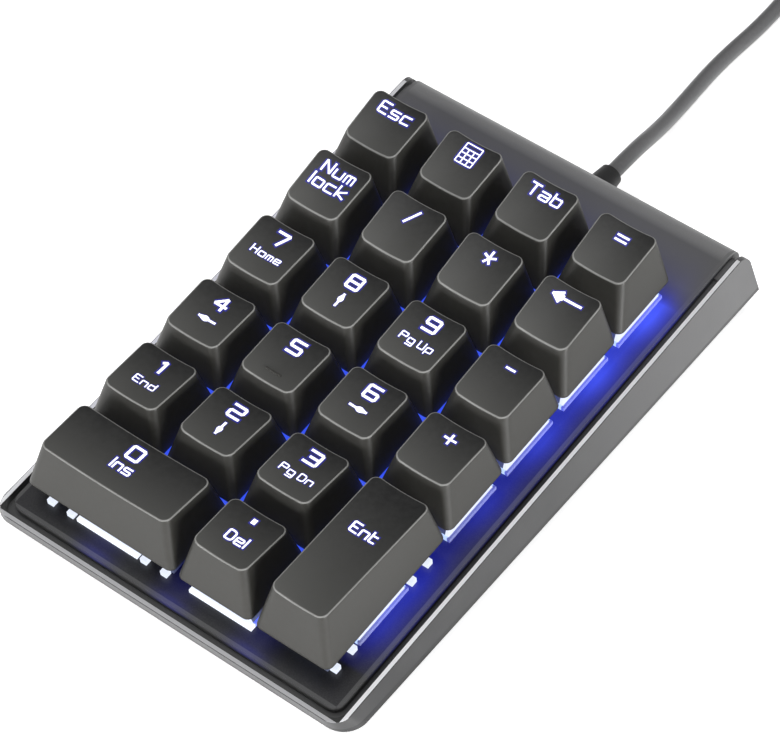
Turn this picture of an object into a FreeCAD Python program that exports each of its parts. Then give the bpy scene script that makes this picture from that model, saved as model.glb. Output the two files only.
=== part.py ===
import FreeCAD, Part
import math
import os

os.makedirs("parts", exist_ok=True)
Vec = FreeCAD.Vector

# Millimetres. +X runs along a key row to the right, +Y to the rear, +Z up from the desk.
# The deck is the tilted frame of the top plate: its origin is the middle of the key grid on
# the plate's upper face. Pieces of the key field are drawn in the deck and then seated.

# Case, measured at the waist, its widest line, which runs level all round
case_width = 91.0
case_depth = 139.5
foot_height = 1.5
hull_height = 6.1
hull_inset = 4.5
floor_thickness = 1.8
wall = 2.2
waist_front_radius = 5.5
hull_front_radius = 3.0
plate_tilt = 4.0
grid_centre_y = -8.1
plate_height = 15.5

# Rim of the case round the plate, in the deck
rim_half_width = 43.5
rim_front = 62.4
rim_rear = 75.3
rim_drop = 0.6
rim_width = 1.1
rim_front_radius = 4.0
rim_rear_radius = 3.9
gutter_side = 1.4
gutter_front = 1.6
gutter_depth = 2.4
neck_half_width = 39.6
neck_front = 57.2
neck_rear = 66.5
ledge_underside = 4.2
cavity_half_width = 41.4
cavity_rear = 72.8
neck_radius = 1.5

# Top plate
plate_thickness = 1.5
plate_rear = 75.4
plate_rear_radius = 4.5
plate_corner_radius = 2.6
flange_length = 6.2
flange_gap = 0.4

# Key grid
pitch = 19.05
grid_shift = -0.44
columns = 4
rows = 6
key_travel = 4.0
slip = 0.05

# Circuit board
board_drop = 5.0
board_thickness = 1.6
board_half_width = 39.0
board_front = 56.6
board_rear = 66.0

# Switches
plate_cutout = 14.0
base_size = 13.8
base_wall = 1.4
base_floor = 1.1
seat_size = 15.4
seat_thickness = 1.0
post_radius = 2.0
post_length = 3.3
post_bore_radius = 1.1
pin_radius = 0.45
pin_places = [(3.81, -2.54), (-2.54, -5.08)]
cover_height = 6.6
cover_size = 14.4
cover_top_size = 10.4
cover_wall = 1.0
cover_opening_radius = 3.2
lamp_width = 3.0
lamp_depth = 2.0
lamp_offset = 4.9
lamp_height = 5.0
lamp_clearance = 0.2
hole_clearance = 0.1
pin_clearance = 0.2
slider_half_width = 3.8
slider_half_depth = 3.0
slider_gap = 0.1
stem_height = 10.2
guide_radius = 0.9
guide_length = 5.6
spring_seat = 4.2
spring_radius = 2.0
spring_wire = 0.35
spring_turns = 9
cross_span = 4.0
cross_arm_x = 1.25
cross_arm_y = 1.1

# Keycaps. Each profile is (rear y, rear z, front y, front z) of the top, from the skirt up.
skirt_height = 6.2
skirt_size = 18.1
skirt_radius = 1.6
cap_top_rear = 13.5
cap_top_front = 12.8
cap_top_radius = 1.8
cap_wall = 1.4
cap_roof = 1.3
cap_dish = 0.7
socket_radius = 2.75
socket_lift = 0.5
row_profiles = [
    (8.1, 12.2, -4.7, 10.3),
    (8.1, 12.0, -5.3, 10.2),
    (8.0, 10.2, -6.0, 10.0),
    (7.8, 9.5, -6.0, 9.9),
    (8.0, 9.0, -5.9, 10.7),
    (7.6, 9.8, -5.9, 11.4),
]
enter_rear_rise = 0.9
enter_front_rise = 0.9

# Stabilisers of the two double keys
stabiliser_reach = 11.94
stabiliser_half_width = 3.3
stabiliser_half_depth = 5.6
stabiliser_clearance = 0.15
stabiliser_foot = 3.6
stabiliser_shelf = 1.0
stabiliser_shelf_margin = 0.5
tower_half_width = 3.0
tower_half_depth = 3.4
tower_height = 2.6
bore_half = 2.6
runner_half = 2.4
runner_low = 0.6
runner_high = 5.2
wire_radius = 0.6
wire_bend = 1.6
wire_offset = 8.6
wire_height = 1.4
wire_meets = 1.8
wire_tip = 1.2
wire_slot_half_width = 0.85
wire_slot_height = 2.1
clip_near = 0.2
clip_reach = 0.9
clip_height = 1.7
lug_reach = 7.8
lug_height = 1.4

# Fasteners and feet
screw_grid = [(-1, 2), (1, 2), (-1, 0), (1, 0), (-1, -1), (0, -2)]
screw_head_radius = 1.6
screw_head_height = 1.2
screw_radius = 0.95
screw_length = 7.0
screw_hole_radius = 1.1
boss_radius = 2.1
boss_hole_radius = 1.0
boss_clearance = 0.5
foot_length = 16.0
foot_width = 7.0
foot_radius = 2.0
foot_recess = 0.5
foot_x = 29.0
foot_y = 55.0

# Cord, its strain relief and its plug. Route points lie in the row frame.
cord_diameter = 3.6
exit_x = 3.7
exit_height = 10.8
relief_inner = 62.0
relief_flange_thickness = 1.2
relief_flange_radius = 4.4
relief_neck_radius = 3.3
relief_shoulder = 69.0
relief_end = 75.5
relief_tip_radius = 2.6
relief_clearance = 0.1
header_width = 10.0
header_depth = 6.0
header_drop = 4.4
header_front = 56.5
lead_radius = 1.5
chip_size = 7.0
chip_height = 1.2
cord_route = [
    (3.7, 75.5, 10.8),
    (3.7, 84.5, 10.8),
    (2.2, 96.0, 6.2),
    (0.2, 108.5, 2.4),
    (-0.8, 124.0, 1.8),
    (0.6, 142.0, 1.8),
    (-0.6, 160.0, 1.8),
    (-0.2, 178.0, 1.8),
]
tail_route = [
    (59.6, 178.0, 5.4),
    (59.6, 166.5, 3.8),
    (59.6, 155.0, 3.8),
]
coil_centre = (29.7, 178.0)
coil_diameter = 41.8
coil_columns = 6
coil_layers = 2
plug_height = 7.6
plug_width = 15.6
plug_length = 24.0
plug_radius = 2.0
plug_neck_length = 8.0
plug_neck_radius = 3.4
plug_neck_tip = 2.4
shell_width = 12.0
shell_length = 12.5
shell_height = 4.5
shell_wall = 0.4
tongue_width = 10.4
tongue_length = 9.0
tongue_height = 1.6


def box(x0, x1, y0, y1, z0, z1):
    return Part.makeBox(x1 - x0, y1 - y0, z1 - z0, Vec(x0, y0, z0))


def centred_box(width, depth, z0, z1, x=0.0, y=0.0):
    return box(x - width / 2, x + width / 2, y - depth / 2, y + depth / 2, z0, z1)


def rod(radius, x, y, z0, z1):
    return Part.makeCylinder(radius, z1 - z0, Vec(x, y, z0))


def corner_arc(before, at, after, radius):
    """Start, middle and end of the arc that rounds a corner."""
    into = (at - before).normalize()
    out = (after - at).normalize()
    turn = into.getAngle(out)
    reach = radius * math.tan(turn / 2)
    toward_centre = (out - into).normalize()
    depth = radius / math.cos(turn / 2) - radius
    return at - into * reach, at + toward_centre * depth, at + out * reach


def rounded_loop(points, radii):
    """A closed wire through flat points, each corner rounded by its radius or left sharp."""
    count = len(points)
    corners = []
    for i, radius in enumerate(radii):
        if radius > 0:
            corners.append(corner_arc(points[i - 1], points[i], points[(i + 1) % count], radius))
        else:
            corners.append((points[i], None, points[i]))
    edges = []
    for i, (start, middle, end) in enumerate(corners):
        if middle is not None:
            edges.append(Part.Arc(start, middle, end).toShape())
        edges.append(Part.LineSegment(end, corners[(i + 1) % count][0]).toShape())
    return Part.Wire(edges)


def rectangle(x0, x1, y0, y1, z, front_radius, rear_radius):
    points = [Vec(x0, y0, z), Vec(x1, y0, z), Vec(x1, y1, z), Vec(x0, y1, z)]
    return rounded_loop(points, [front_radius, front_radius, rear_radius, rear_radius])


def prism(wire, height):
    return Part.Face(wire).extrude(Vec(0, 0, height))


def side_prism(points, radii, half_width):
    """A profile in the YZ plane, given as (y, z), made as wide as the two half widths."""
    wire = rounded_loop([Vec(-half_width, y, z) for y, z in points], radii)
    return Part.Face(wire).extrude(Vec(2 * half_width, 0, 0))


def joined(shapes):
    whole = shapes[0]
    for shape in shapes[1:]:
        whole = whole.fuse(shape)
    return whole.removeSplitter()


deck = FreeCAD.Placement(
    Vec(0, grid_centre_y, plate_height), FreeCAD.Rotation(Vec(1, 0, 0), plate_tilt)
)


def seated(shape):
    """Moves a shape from the deck to the row frame."""
    moved = shape.copy()
    moved.Placement = deck.multiply(moved.Placement)
    return moved


def at(shape, x, y):
    moved = shape.copy()
    moved.translate(Vec(x, y, 0))
    return moved


# Where each key stands: name, column of its centre, row of its centre, width and depth in units
key_places = [
    ("esc", 0, 0, 1, 1), ("calculator", 1, 0, 1, 1), ("tab", 2, 0, 1, 1), ("equals", 3, 0, 1, 1),
    ("num_lock", 0, 1, 1, 1), ("divide", 1, 1, 1, 1), ("multiply", 2, 1, 1, 1), ("backspace", 3, 1, 1, 1),
    ("7", 0, 2, 1, 1), ("8", 1, 2, 1, 1), ("9", 2, 2, 1, 1), ("minus", 3, 2, 1, 1),
    ("4", 0, 3, 1, 1), ("5", 1, 3, 1, 1), ("6", 2, 3, 1, 1), ("plus", 3, 3, 1, 1),
    ("1", 0, 4, 1, 1), ("2", 1, 4, 1, 1), ("3", 2, 4, 1, 1), ("enter", 3, 4.5, 1, 2),
    ("0", 0.5, 5, 2, 1), ("decimal", 2, 5, 1, 1),
]


def key_centre(column, row):
    return grid_shift + (column - (columns - 1) / 2) * pitch, ((rows - 1) / 2 - row) * pitch


switch_centres = [key_centre(column, row) for _, column, row, _, _ in key_places]
screw_centres = [(grid_shift + column * pitch, row * pitch) for column, row in screw_grid]
board_top = -board_drop
board_bottom = -board_drop - board_thickness


def stabiliser_frames():
    """Key centre and turn of the stabiliser of each double key, its wire at local +Y."""
    found = {}
    for name, column, row, width, depth in key_places:
        if width > 1:
            found[name] = (key_centre(column, row), 0)
        if depth > 1:
            found[name] = (key_centre(column, row), 90)
    return found


def turned(shape, centre, angle):
    moved = shape.copy()
    moved.rotate(Vec(0, 0, 0), Vec(0, 0, 1), angle)
    moved.translate(Vec(centre[0], centre[1], 0))
    return moved


def cross(margin, z0, z1):
    arm_x = centred_box(cross_span + 2 * margin, cross_arm_x + 2 * margin, z0, z1)
    arm_y = centred_box(cross_arm_y + 2 * margin, cross_span + 2 * margin, z0, z1)
    return arm_x.fuse(arm_y)


# Bottom case
def level_loop(inset, height, front_radius):
    x = case_width / 2 - inset
    y = case_depth / 2 - inset
    return rectangle(-x, x, -y, y, height, front_radius, 0)


def plate_room():
    """Space behind the ledge that the plate's rolled rear edge takes in the case."""
    slope = rear_slope()
    inner_rear = plate_rear - (plate_thickness + 2 * slip) / math.cos(math.atan(slope))
    low = -flange_length - flange_gap
    far = case_depth
    points = [
        (neck_rear - far, -plate_thickness),
        (inner_rear - slope * -plate_thickness, -plate_thickness),
        (inner_rear - slope * low, low),
        (far, low),
        (far, far),
        (neck_rear - far, far),
    ]
    radii = [0, plate_rear_radius - plate_thickness, 0, 0, 0, 0]
    return points, radii


def rear_slope():
    """How far the rear wall leans back for each millimetre down, in the deck."""
    tilt = math.radians(plate_tilt)
    level = foot_height + hull_height - plate_height
    rear = case_depth / 2 - grid_centre_y
    waist_y = rear * math.cos(tilt) + level * math.sin(tilt)
    waist_z = level * math.cos(tilt) - rear * math.sin(tilt)
    return (waist_y - rim_rear) / (-rim_drop - waist_z)


def case_hull():
    waist = level_loop(0, foot_height + hull_height, waist_front_radius)
    bottom = level_loop(hull_inset, foot_height, hull_front_radius)
    rim = rectangle(-rim_half_width, rim_half_width, -rim_front, rim_rear, -rim_drop, rim_front_radius, 0)
    lower = Part.makeLoft([bottom, waist], True, True)
    upper = Part.makeLoft([waist, seated(rim)], True, True)
    hull = joined([lower, upper])
    rear_top = seated(Part.Vertex(0, rim_rear, -rim_drop)).Point
    rear_edges = []
    for edge in hull.Edges:
        middle = edge.valueAt((edge.FirstParameter + edge.LastParameter) / 2)
        if middle.distanceToPoint(rear_top) < 0.01:
            rear_edges.append(edge)
    return hull.makeFillet(rim_rear_radius, rear_edges)


def case_cavity():
    floor = foot_height + floor_thickness
    inset = hull_inset * (1 - floor_thickness / hull_height) + wall
    low = level_loop(inset, floor, neck_radius)
    high = seated(
        rectangle(
            -cavity_half_width, cavity_half_width, -neck_front, cavity_rear,
            -ledge_underside, neck_radius, 0,
        )
    )
    neck = prism(
        rectangle(
            -neck_half_width, neck_half_width, -neck_front, neck_rear,
            -ledge_underside - wall, neck_radius, neck_radius,
        ),
        ledge_underside + wall,
    )
    return Part.makeLoft([low, high], True, True), seated(neck)


def case_recess():
    inner_x = rim_half_width - rim_width
    inner_front = rim_front - rim_width
    radius = rim_front_radius - rim_width
    opening = prism(
        rectangle(-inner_x, inner_x, -inner_front, neck_rear, -plate_thickness, radius, 0), case_depth
    )
    rear_points, rear_radii = plate_room()
    rear_points[0] = (neck_rear - rim_width, -plate_thickness)
    rear_points[-1] = (neck_rear - rim_width, case_depth)
    rear = side_prism(rear_points, rear_radii, inner_x)
    edge_x = inner_x - gutter_side
    edge_front = inner_front - gutter_front
    outer = prism(
        rectangle(-inner_x, inner_x, -inner_front, neck_rear, -gutter_depth, radius, 0),
        gutter_depth - plate_thickness,
    )
    inner = prism(
        rectangle(-edge_x, edge_x, -edge_front, neck_rear + wall, -gutter_depth - wall, radius, 0),
        gutter_depth + wall,
    )
    return [opening, rear, outer.cut(inner)]


def bottom_case():
    hull = case_hull()
    cavity, neck = case_cavity()
    shell = hull.cut(cavity).cut(neck)
    for cutter in case_recess():
        shell = shell.cut(seated(cutter))
    posts = [rod(boss_radius, x, y, -plate_height * 2, -plate_thickness) for x, y in screw_centres]
    for post in posts:
        shell = shell.fuse(seated(post).common(hull))
    for x, y in screw_centres:
        depth = screw_length + boss_clearance
        shell = shell.cut(seated(rod(boss_hole_radius, x, y, -plate_thickness - depth, 0)))
    gland = Part.makeCylinder(
        relief_neck_radius + relief_clearance, case_depth / 2 - relief_inner,
        Vec(exit_x, relief_inner, exit_height), Vec(0, 1, 0),
    )
    shell = shell.cut(gland)
    for pad in foot_shapes(foot_height + foot_recess):
        shell = shell.cut(pad)
    return shell.removeSplitter()


def foot_shapes(height):
    pads = []
    for sx in (-1, 1):
        for sy in (-1, 1):
            x = sx * foot_x
            y = sy * foot_y
            half_l = foot_length / 2
            half_w = foot_width / 2
            loop = rectangle(x - half_l, x + half_l, y - half_w, y + half_w, 0, foot_radius, foot_radius)
            pads.append(prism(loop, height))
    return pads


# Top plate, a sheet whose rear edge is rolled down over the case
def top_plate():
    slope = rear_slope()
    lean = math.cos(math.atan(slope))
    front = rim_front - rim_width - gutter_front
    half_width = rim_half_width - rim_width - gutter_side
    inner_rear = plate_rear - plate_thickness / lean
    points = [
        (-front, 0),
        (-front, -plate_thickness),
        (inner_rear + slope * plate_thickness, -plate_thickness),
        (inner_rear + slope * flange_length, -flange_length),
        (plate_rear + slope * flange_length, -flange_length),
        (plate_rear, 0),
    ]
    radii = [0, 0, plate_rear_radius - plate_thickness, 0, 0, plate_rear_radius]
    sheet = side_prism(points, radii, half_width)
    outline = prism(
        rectangle(
            -half_width, half_width, -front, plate_rear + flange_length,
            -2 * flange_length, plate_corner_radius, 0,
        ),
        3 * flange_length,
    )
    sheet = sheet.common(outline)
    cutters = []
    for x, y in switch_centres:
        cutters.append(centred_box(plate_cutout, plate_cutout, -plate_height, plate_height, x, y))
    for x, y in screw_centres:
        cutters.append(rod(screw_hole_radius, x, y, -plate_height, plate_height))
    for centre, angle in stabiliser_frames().values():
        half_u = stabiliser_half_width + stabiliser_clearance
        low = -stabiliser_half_depth - stabiliser_clearance
        high = wire_offset - 2 * wire_radius
        for side in (-1, 1):
            u = side * stabiliser_reach
            hole = box(u - half_u, u + half_u, low, high, -plate_height, plate_height)
            cutters.append(turned(hole, centre, angle))
    for cutter in cutters:
        sheet = sheet.cut(cutter)
    return seated(sheet)


# Circuit board with the controller, the cord's header and the cord's inner lead
def circuit_board():
    board = box(-board_half_width, board_half_width, -board_front, board_rear, board_bottom, board_top)
    holes = []
    for x, y in switch_centres:
        holes.append(rod(post_radius + hole_clearance, x, y, board_bottom, board_top))
        for px, py in pin_places:
            holes.append(rod(pin_radius + pin_clearance, x + px, y + py, board_bottom, board_top))
    for x, y in screw_centres:
        holes.append(rod(boss_radius + boss_clearance, x, y, board_bottom, board_top))
    for hole in holes:
        board = board.cut(hole)
    chip = centred_box(chip_size, chip_size, board_bottom - chip_height, board_bottom)
    header = box(
        exit_x - header_width / 2, exit_x + header_width / 2, header_front, header_front + header_depth,
        board_bottom - header_drop, board_bottom,
    )
    header = seated(header)
    start = grid_centre_y + header_front
    lead = Part.makeCylinder(
        lead_radius, relief_inner - start, Vec(exit_x, start, exit_height), Vec(0, 1, 0)
    ).cut(header)
    return Part.makeCompound([seated(board), seated(chip), header, lead])


# One switch, drawn at the deck's origin
def lamp_slot(z0, z1):
    return centred_box(
        lamp_width + 2 * lamp_clearance, lamp_depth + 2 * lamp_clearance, z0, z1, 0, lamp_offset
    )


def switch_base():
    inner = base_size - 2 * base_wall
    body = centred_box(base_size, base_size, board_top, 0)
    seat = centred_box(seat_size, seat_size, 0, seat_thickness)
    post = rod(post_radius, 0, 0, board_top - post_length, board_top + base_floor)
    base = joined([body, seat, post])
    base = base.cut(centred_box(inner, inner, board_top + base_floor, seat_thickness))
    base = base.cut(rod(post_bore_radius, 0, 0, board_top - post_length + base_floor / 2, 0))
    base = base.cut(lamp_slot(board_top, seat_thickness))
    for x, y in pin_places:
        base = base.fuse(rod(pin_radius, x, y, board_top - post_length, board_top + base_floor / 2))
    return base.removeSplitter()


def frustum(low_size, high_size, z0, z1):
    wires = []
    for size, z in ((low_size, z0), (high_size, z1)):
        half = size / 2
        wires.append(rectangle(-half, half, -half, half, z, 0, 0))
    return Part.makeLoft(wires, True, True)


def switch_cover():
    roof = cover_height - cover_wall
    inner_low = base_size - 2 * base_wall
    inner_high = cover_top_size - 2 * cover_wall
    cover = frustum(cover_size, cover_top_size, seat_thickness, cover_height)
    cover = cover.cut(frustum(inner_low, inner_high, seat_thickness, roof))
    cover = cover.cut(rod(cover_opening_radius, 0, 0, roof, cover_height))
    return cover.cut(lamp_slot(seat_thickness, cover_height))


def lamp():
    body = centred_box(lamp_width, lamp_depth, board_top, lamp_height, 0, lamp_offset)
    return body


def slider():
    """The moving stem: a cross that carries the cap, a shoulder under the cover, a guide pin."""
    top = cover_height - cover_wall - slider_gap
    low = board_top + base_floor + key_travel + slider_gap
    body = centred_box(2 * slider_half_width, 2 * slider_half_depth, low, top)
    bore = rod(spring_radius + spring_wire + 2 * slip, 0, 0, low, spring_seat)
    pin = rod(guide_radius, 0, 0, spring_seat - guide_length, spring_seat)
    return joined([body.cut(bore), pin, cross(0, top, stem_height)])


def spring():
    low = board_top + base_floor + spring_wire
    length = spring_seat - spring_wire - low
    helix = Part.makeHelix(length / spring_turns, length, spring_radius)
    start = Part.makeCircle(spring_wire, Vec(spring_radius, 0, 0), Vec(0, 1, 0))
    coil = Part.Wire(helix.Edges).makePipeShell([Part.Wire([start])], True, True)
    coil.translate(Vec(0, 0, low))
    return coil


# Keycaps
def cap_corners(profile, width, depth, inset, drop):
    """Corners of the top, front left first, moved in by inset and down by drop."""
    rear_y, rear_z, front_y, front_z = profile
    grow_x = (width - 1) * pitch / 2
    grow_y = (depth - 1) * pitch / 2
    rear_x = cap_top_rear / 2 + grow_x - inset
    front_x = cap_top_front / 2 + grow_x - inset
    y0 = front_y - grow_y + inset
    y1 = rear_y + grow_y - inset
    z0 = skirt_height + front_z - drop
    z1 = skirt_height + rear_z - drop
    return [Vec(-front_x, y0, z0), Vec(front_x, y0, z0), Vec(rear_x, y1, z1), Vec(-rear_x, y1, z1)]


def cap_solid(profile, width, depth, inset, drop):
    skirt_x = skirt_size / 2 + (width - 1) * pitch / 2 - inset
    skirt_y = skirt_size / 2 + (depth - 1) * pitch / 2 - inset
    low_radius = skirt_radius - inset / 2
    high_radius = cap_top_radius - inset / 2
    low = rectangle(-skirt_x, skirt_x, -skirt_y, skirt_y, skirt_height, low_radius, low_radius)
    high = rounded_loop(cap_corners(profile, width, depth, inset, drop), [high_radius] * 4)
    return Part.makeLoft([low, high], True, True)


def keycap(profile, width, depth):
    outer = cap_solid(profile, width, depth, 0, 0)
    corners = cap_corners(profile, width, depth, 0, 0)
    front = (corners[0] + corners[1]) * 0.5
    rear = (corners[2] + corners[3]) * 0.5
    along = (rear - front).normalize()
    up = Vec(1, 0, 0).cross(along)
    chord = (cap_top_rear + cap_top_front) / 2 + (width - 1) * pitch
    dish_radius = chord * chord / (8 * cap_dish) + cap_dish / 2
    start = front + up * (dish_radius - cap_dish) - along * skirt_size
    dish = Part.makeCylinder(dish_radius, (rear - front).Length + 2 * skirt_size, start, along)
    inner = cap_solid(profile, width, depth, cap_wall, cap_dish + cap_roof)
    cap = outer.cut(dish).cut(inner)
    lowest_roof = skirt_height + min(profile[1], profile[3]) - cap_dish - cap_roof / 2
    places = [(0, 0)]
    if width > 1:
        places += [(-stabiliser_reach, 0), (stabiliser_reach, 0)]
    if depth > 1:
        places += [(0, -stabiliser_reach), (0, stabiliser_reach)]
    for x, y in places:
        cap = cap.fuse(at(rod(socket_radius, 0, 0, skirt_height + socket_lift, lowest_roof), x, y))
    side_turn = 90 if depth > 1 else 0
    for x, y in places:
        angle = 0 if (x, y) == (0, 0) else side_turn
        cap = cap.cut(turned(cross(slip, skirt_height, stem_height + 2 * slip), (x, y), angle))
    return cap.removeSplitter()


# Stabilisers, drawn along local X with the wire at local +Y
def stabiliser_housing(side):
    u = side * stabiliser_reach
    half_u = stabiliser_half_width
    shelf_u = half_u + stabiliser_shelf_margin
    shelf_v = stabiliser_half_depth + stabiliser_shelf_margin
    body = box(u - half_u, u + half_u, -stabiliser_half_depth, stabiliser_half_depth, -stabiliser_foot, 0)
    shelf = box(u - shelf_u, u + shelf_u, -shelf_v, stabiliser_half_depth, 0, stabiliser_shelf)
    tower = centred_box(2 * tower_half_width, 2 * tower_half_depth, 0, tower_height, u, 0)
    arm_start = stabiliser_half_depth - clip_reach
    arm_end = wire_offset + clip_reach
    near = wire_bend + clip_near
    arm_near = u - side * near
    arm_far = u - side * half_u
    arm = box(min(arm_near, arm_far), max(arm_near, arm_far), arm_start, arm_end, 0, clip_height)
    lugs = [
        box(u - half_u, u - near, -lug_reach, -arm_start, 0, lug_height),
        box(u + near, u + half_u, -lug_reach, -arm_start, 0, lug_height),
    ]
    housing = joined([body, shelf, tower, arm] + lugs)
    housing = housing.cut(centred_box(2 * bore_half, 2 * bore_half, -stabiliser_foot, tower_height, u, 0))
    slot_half = wire_radius + 2 * stabiliser_clearance
    slot = box(u - slot_half, u + slot_half, 0, wire_offset, -stabiliser_foot, tower_height)
    housing = housing.cut(slot)
    groove = Part.makeCylinder(
        wire_radius + slip, 4 * half_u, Vec(u - 2 * half_u, wire_offset, wire_height), Vec(1, 0, 0)
    )
    return housing.cut(groove)


def stabiliser_runner(side):
    """The small stem that the wire lifts, with the cross for the cap's side socket."""
    u = side * stabiliser_reach
    body = centred_box(2 * runner_half, 2 * runner_half, runner_low, runner_high, u, 0)
    middle = wire_height + key_travel / 2
    slot = box(
        u - wire_slot_half_width, u + wire_slot_half_width, wire_tip - wire_radius, runner_half,
        middle - wire_slot_height / 2, middle + wire_slot_height / 2,
    )
    return joined([body.cut(slot), at(cross(0, runner_high, stem_height), u, 0)])


def stabiliser_wire():
    """One bent wire: a bar in the clips and two legs into the runners, at rest angled up."""
    rise = math.atan(key_travel / 2 / (wire_offset - wire_meets))
    leg = (wire_offset - wire_tip) / math.cos(rise)
    back = Vec(0, -math.cos(rise), math.sin(rise))
    origin = Vec(0, wire_offset, wire_height)
    left = origin + Vec(-stabiliser_reach, 0, 0)
    right = origin + Vec(stabiliser_reach, 0, 0)
    tip_left = left + back * leg
    tip_right = right + back * leg
    first = corner_arc(tip_left, left, right, wire_bend)
    second = corner_arc(left, right, tip_right, wire_bend)
    path = Part.Wire([
        Part.LineSegment(tip_left, first[0]).toShape(),
        Part.Arc(*first).toShape(),
        Part.LineSegment(first[2], second[0]).toShape(),
        Part.Arc(*second).toShape(),
        Part.LineSegment(second[2], tip_right).toShape(),
    ])
    section = Part.Wire([Part.makeCircle(wire_radius, tip_left, back)])
    return path.makePipeShell([section], True, False)


# Fasteners
def case_screw():
    head = rod(screw_head_radius, 0, 0, 0, screw_head_height)
    shank = rod(screw_radius, 0, 0, -screw_length, 0)
    recess = cross(0, screw_head_height / 2, screw_head_height)
    recess.scale(0.45, Vec(0, 0, screw_head_height))
    return joined([head, shank]).cut(recess)


# Cord
def strain_relief():
    along = Vec(0, 1, 0)
    flange_end = relief_inner + relief_flange_thickness

    def start(y):
        return Vec(exit_x, y, exit_height)

    flange = Part.makeCylinder(relief_flange_radius, relief_flange_thickness, start(relief_inner), along)
    neck = Part.makeCylinder(relief_neck_radius, relief_shoulder - flange_end, start(flange_end), along)
    taper = Part.makeCone(
        relief_neck_radius, relief_tip_radius, relief_end - relief_shoulder, start(relief_shoulder), along
    )
    return joined([flange, neck, taper])


def cord_tube(route):
    """Straight runs joined by tangent arcs, each as wide as its two runs allow."""
    points = [Vec(*point) for point in route]
    edges = []
    reach = points[0]
    length = 0.0
    for i in range(1, len(points) - 1):
        before, corner, after = points[i - 1], points[i], points[i + 1]
        turn = (corner - before).getAngle(after - corner)
        run = min((corner - before).Length, (after - corner).Length)
        radius = 0.45 * run / math.tan(turn / 2)
        start, middle, end = corner_arc(before, corner, after, radius)
        edges.append(Part.LineSegment(reach, start).toShape())
        edges.append(Part.Arc(start, middle, end).toShape())
        length += (start - reach).Length + radius * turn
        reach = end
        print("cord point", i, "turn", round(math.degrees(turn), 1), "radius", round(radius, 1))
    edges.append(Part.LineSegment(reach, points[-1]).toShape())
    length += (points[-1] - reach).Length
    radius = cord_diameter / 2
    section = Part.Wire([Part.makeCircle(radius, points[0], points[1] - points[0])])
    tube = Part.Wire(edges).makePipeShell([section], True, False)
    print("cord tube length", round(length, 1), "volume ratio", tube.Volume / (math.pi * radius**2 * length))
    return tube


def cable_coil():
    middle = coil_diameter / 2
    half_band = coil_columns * cord_diameter / 2
    height = coil_layers * cord_diameter
    x, y = coil_centre
    return rod(middle + half_band, x, y, 0, height).cut(rod(middle - half_band, x, y, 0, height))


def usb_plug():
    """Moulded grip with its neck toward the cord, open metal shell and the tongue inside it."""
    x, y, z = tail_route[-1]
    half_width = plug_width / 2
    rear = y - plug_neck_length
    front = rear - plug_length
    low = z - plug_height / 2
    grip = prism(
        rectangle(x - half_width, x + half_width, front, rear, low, plug_radius, plug_radius), plug_height
    )
    neck = Part.makeCone(plug_neck_radius, plug_neck_tip, plug_neck_length, Vec(x, rear, z), Vec(0, 1, 0))
    end = front - shell_length
    half_shell = shell_width / 2
    half_height = shell_height / 2
    shell = box(x - half_shell, x + half_shell, end, front, z - half_height, z + half_height)
    inside = box(
        x - half_shell + shell_wall, x + half_shell - shell_wall, end, front,
        z - half_height + shell_wall, z + half_height - shell_wall,
    )
    tongue_low = z - half_height + shell_wall
    tongue = box(
        x - tongue_width / 2, x + tongue_width / 2, front - tongue_length, front,
        tongue_low, tongue_low + tongue_height,
    )
    return Part.makeCompound([joined([grip, neck]), shell.cut(inside), tongue])


# Everything is built and written
nodes = {}
nodes["bottom_case"] = bottom_case()
nodes["top_plate"] = top_plate()
nodes["circuit_board"] = circuit_board()


def group(shape, centres):
    return Part.makeCompound([seated(at(shape, x, y)) for x, y in centres])


nodes["switch_bases"] = group(switch_base(), switch_centres)
nodes["switch_covers"] = group(switch_cover(), switch_centres)
nodes["switch_springs"] = group(spring(), switch_centres)
nodes["backlight_lamps"] = group(lamp(), switch_centres)

stabilisers = stabiliser_frames()
housings = []
for centre, angle in stabilisers.values():
    for side in (-1, 1):
        housings.append(seated(turned(stabiliser_housing(side), centre, angle)))
nodes["stabiliser_housings"] = Part.makeCompound(housings)
for name, (centre, angle) in stabilisers.items():
    nodes["stabiliser_wire_" + name] = seated(turned(stabiliser_wire(), centre, angle))

for name, column, row, width, depth in key_places:
    x, y = key_centre(column, row)
    if depth > 1:
        upper = row_profiles[int(row)]
        lower = row_profiles[int(row) + 1]
        profile = (upper[0], upper[1] + enter_rear_rise, lower[2], lower[3] + enter_front_rise)
    else:
        profile = row_profiles[int(row)]
    nodes["keycap_" + name] = seated(at(keycap(profile, width, depth), x, y))
    stems = [at(slider(), x, y)]
    if name in stabilisers:
        centre, angle = stabilisers[name]
        stems += [turned(stabiliser_runner(side), centre, angle) for side in (-1, 1)]
    nodes["stem_" + name] = seated(Part.makeCompound(stems))

nodes["case_screws"] = group(case_screw(), screw_centres)
nodes["rubber_feet"] = Part.makeCompound(foot_shapes(foot_height + foot_recess))
nodes["strain_relief"] = strain_relief()
nodes["cable"] = Part.makeCompound([cord_tube(cord_route), cord_tube(tail_route)])
nodes["cable_coil"] = cable_coil()
nodes["usb_plug"] = usb_plug()

for name, shape in nodes.items():
    if not shape.isValid():
        print("not valid:", name)
    shape.exportStep("parts/" + name + ".step")
print(len(nodes), "nodes,", sum(len(shape.Solids) for shape in nodes.values()), "solids")
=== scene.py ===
import math

import bmesh
import bpy
from mathutils import Euler, Matrix, Vector


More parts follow.
